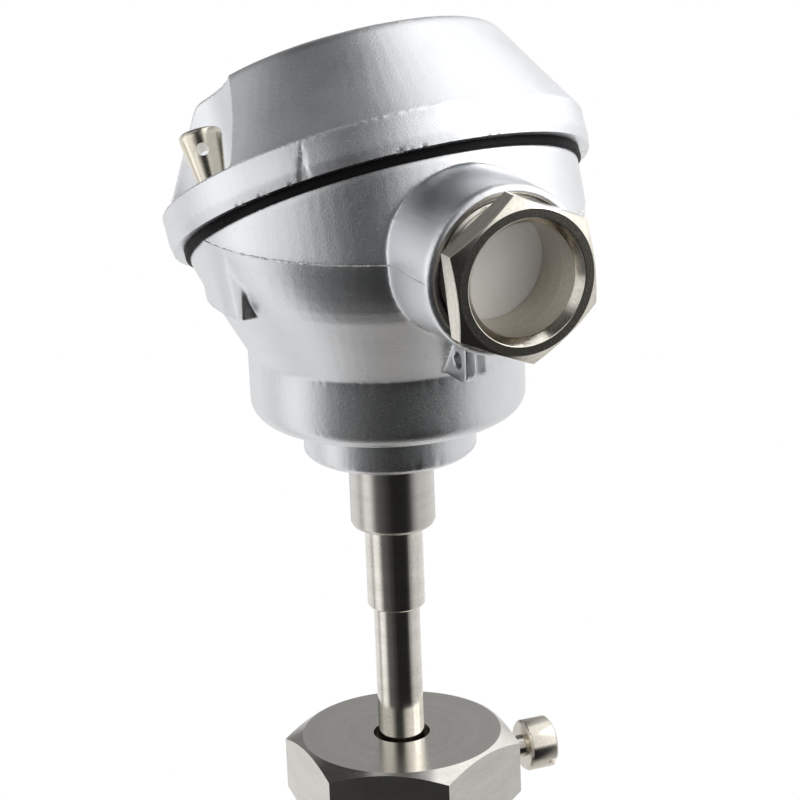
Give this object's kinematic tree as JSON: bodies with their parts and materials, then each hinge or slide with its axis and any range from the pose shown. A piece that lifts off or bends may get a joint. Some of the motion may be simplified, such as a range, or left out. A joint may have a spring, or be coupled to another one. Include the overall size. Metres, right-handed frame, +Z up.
{
  "type": "rtd probe with head",
  "caption": "Resistance thermometer with an inclined-lid connection head, cable gland, stepped neck and probe tube, clamped in a hexagonal screw-in pocket.",
  "frame": {"origin": "centre of the pocket's sealing face, on the probe axis", "axes": "+Z up the probe axis towards the head, +X along the cable gland's axis, out of the gland"},
  "size_m": [0.0859, 0.0726, 0.2631],
  "materials": {
    "cast_aluminium": "fine-grained cast, silver-grey",
    "turned_steel": "turned, satin",
    "tube_steel": "drawn tube, bright",
    "nickel_plate": "nickel-plated, polished",
    "zinc_steel": "zinc-plated",
    "brass": "turned brass",
    "rubber": "black, matt",
    "grey_plastic": "matt",
    "ceramic": "glazed steatite",
    "lead_red": "insulated wire",
    "lead_white": "insulated wire"
  },
  "bodies": {
    "pocket": {"pocket_body": "turned_steel", "pocket_tube": "tube_steel"},
    "clamp_screw": {"clamp_screw": "nickel_plate"},
    "probe": {"probe_tube": "tube_steel", "sensing_element": "ceramic", "neck_sleeve": "tube_steel", "neck_adapter": "turned_steel"},
    "head": {"head_body": "cast_aluminium", "lead_wires_red": "lead_red", "lead_wires_white": "lead_white", "terminal_block": "ceramic", "terminal_posts": "brass", "terminal_screws": "nickel_plate", "block_screws": "zinc_steel", "block_springs": "zinc_steel", "earth_washer": "nickel_plate", "gland_disc": "grey_plastic", "gland_washer": "zinc_steel", "gland_seal": "rubber"},
    "earth_screw": {"earth_screw": "nickel_plate"},
    "lid": {"lid": "cast_aluminium", "lid_gasket": "rubber", "lid_screw_clips": "zinc_steel"},
    "lid_screw_left": {"lid_screw_left": "nickel_plate"},
    "lid_screw_right": {"lid_screw_right": "nickel_plate"},
    "gland_screw": {"gland_screw": "nickel_plate"}
  },
  "joints": [
    {"name": "probe_slide", "type": "slide", "parent": "pocket", "child": "probe", "axis": [0, 0, 1], "range_m": [0, 0.14]},
    {"name": "head_turn", "type": "hinge", "parent": "probe", "child": "head", "pos_m": [0, 0, 0.07], "axis": [0, 0, 1], "range_deg": [-180, 180]},
    {"name": "clamp_screw_turn", "type": "hinge", "parent": "pocket", "child": "clamp_screw", "pos_m": [0, 0, 0.0054], "axis": [0.0645, 0.9979, 0], "range_deg": [0, 1080]},
    {"name": "lid_lift", "type": "slide", "parent": "head", "child": "lid", "axis": [-0.5, 0, 0.866], "range_m": [0, 0.06]},
    {"name": "lid_screw_left_turn", "type": "hinge", "parent": "lid", "child": "lid_screw_left", "pos_m": [0.0015, -0.0288, 0.1082], "axis": [-0.5, 0, 0.866], "range_deg": [0, 2160]},
    {"name": "lid_screw_right_turn", "type": "hinge", "parent": "lid", "child": "lid_screw_right", "pos_m": [0.0015, 0.0288, 0.1082], "axis": [-0.5, 0, 0.866], "range_deg": [0, 2160]},
    {"name": "gland_screw_turn", "type": "hinge", "parent": "head", "child": "gland_screw", "pos_m": [0.045, 0, 0.1092], "axis": [1, 0, 0], "range_deg": [0, 1440]},
    {"name": "earth_screw_turn", "type": "hinge", "parent": "head", "child": "earth_screw", "pos_m": [0.01729, 0.01729, 0.09736], "axis": [0, 0, 1], "range_deg": [0, 720]}
  ]
}
